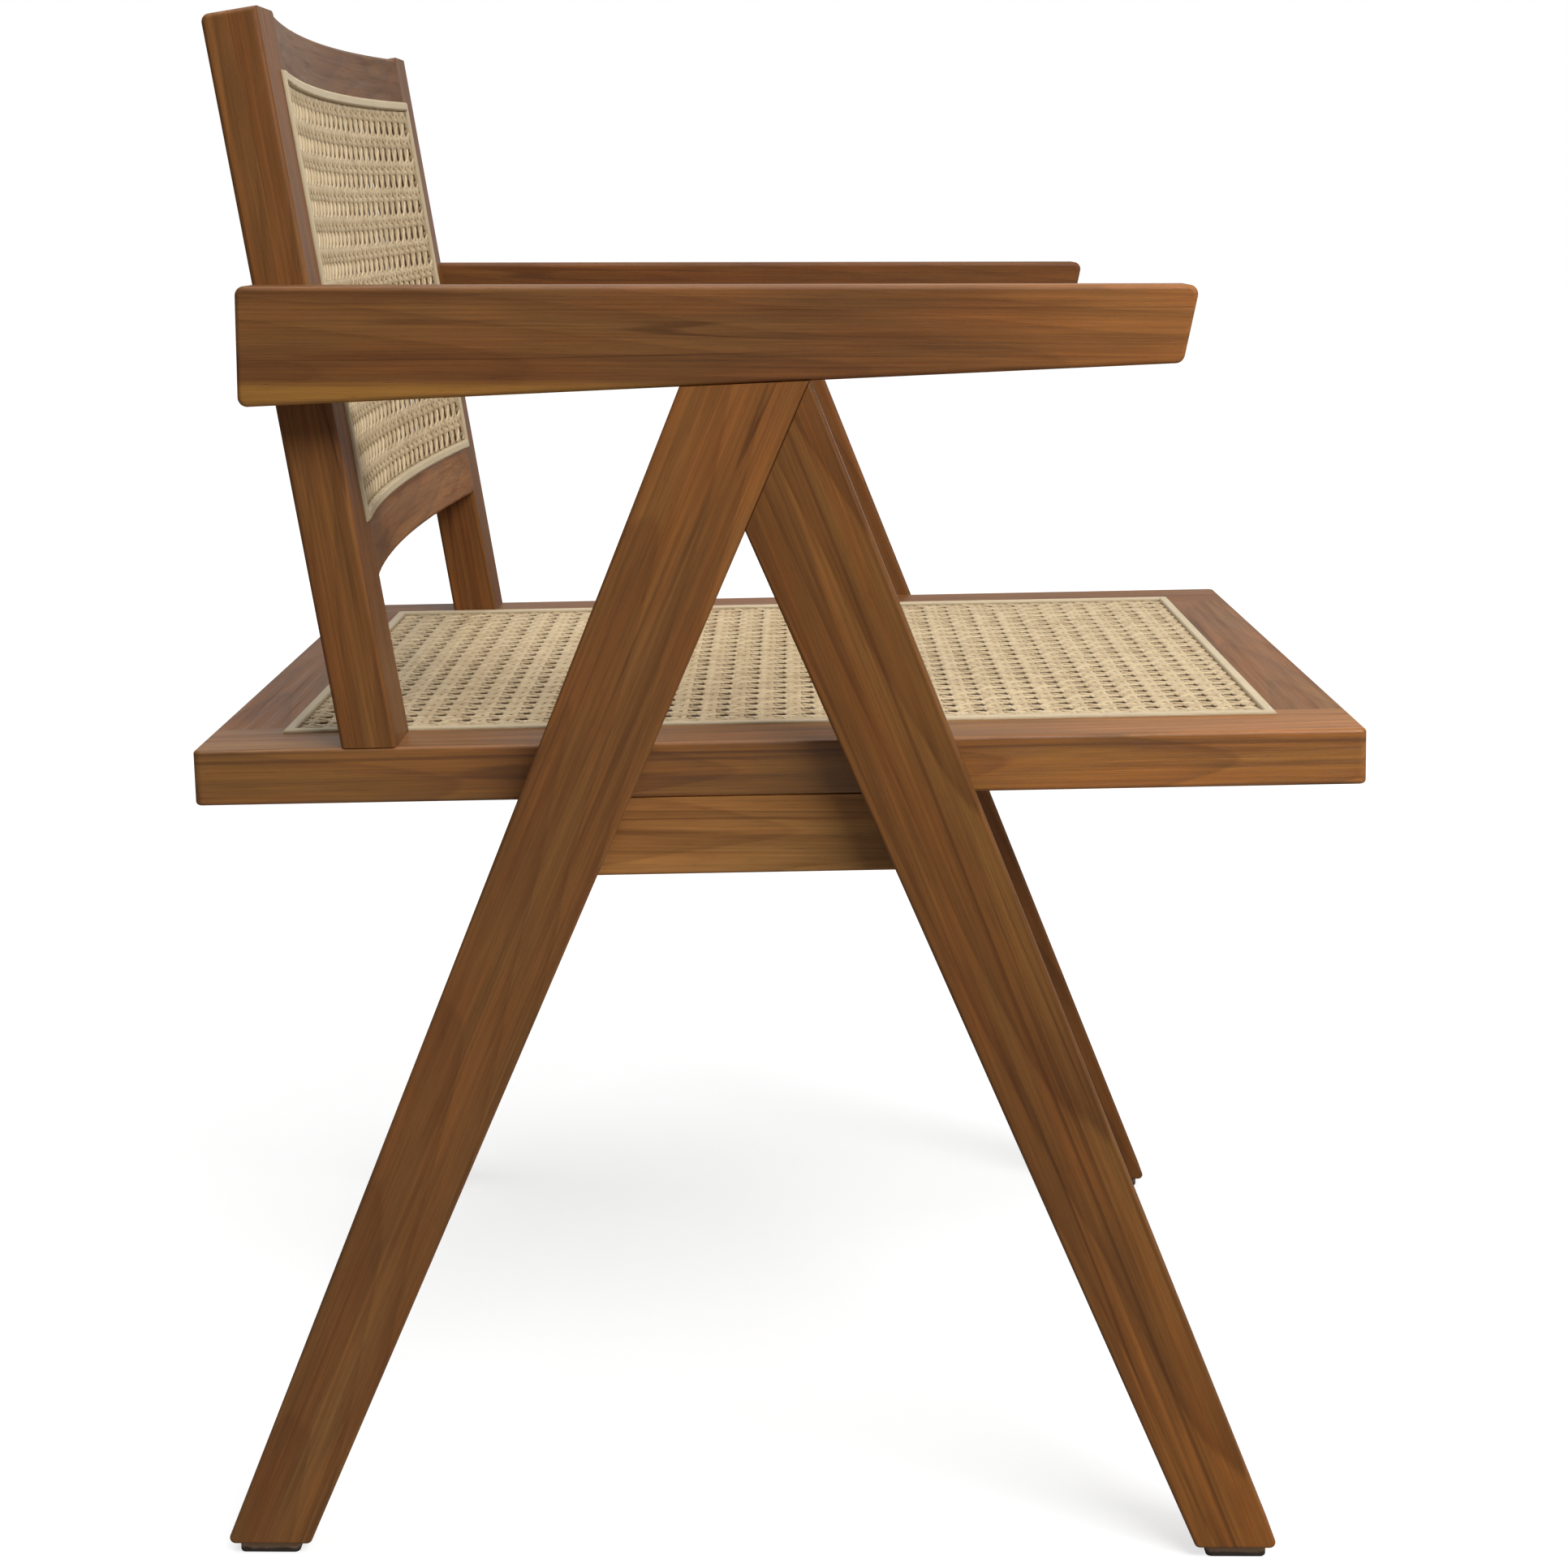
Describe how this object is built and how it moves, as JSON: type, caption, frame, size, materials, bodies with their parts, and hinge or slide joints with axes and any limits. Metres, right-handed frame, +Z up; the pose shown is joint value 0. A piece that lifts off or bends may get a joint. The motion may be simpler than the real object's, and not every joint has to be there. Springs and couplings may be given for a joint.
{
  "type": "armchair",
  "caption": "Teak armchair with V-shaped side legs, plank arms, a reclined bowed cane back and a flat cane seat, standing on small foot pads.",
  "frame": {"origin": "on the floor, under the middle of the chair's width and depth", "axes": "+Z up; the sitter faces -Y; +X is the sitter's left"},
  "size_m": [0.546, 0.5866, 0.7783],
  "materials": {
    "teak": "satin",
    "cane": "matte",
    "spline": "satin",
    "glide": "matte",
    "dowel": "matte",
    "nail": "satin"
  },
  "bodies": {
    "root": {"rear_leg_left": "teak", "rear_leg_right": "teak", "front_leg_left": "teak", "front_leg_right": "teak", "arm_left": "teak", "arm_right": "teak", "seat_side_rail_left": "teak", "seat_side_rail_right": "teak", "seat_front_rail": "teak", "seat_rear_rail": "teak", "leg_stretcher_left": "teak", "leg_stretcher_right": "teak", "back_post_left": "teak", "back_post_right": "teak", "back_top_rail": "teak", "back_bottom_rail": "teak", "seat_cane": "cane", "back_cane": "cane", "seat_cane_spline": "spline", "back_cane_spline": "spline", "foot_glide_front_left": "glide", "foot_glide_front_right": "glide", "foot_glide_rear_left": "glide", "foot_glide_rear_right": "glide", "leg_rail_dowels": "dowel", "stretcher_dowels": "dowel", "leg_arm_dowels": "dowel", "leg_joint_dowels": "dowel", "arm_post_dowels": "dowel", "seat_frame_dowels": "dowel", "back_rail_dowels": "dowel", "glide_nails": "nail"}
  },
  "joints": []
}
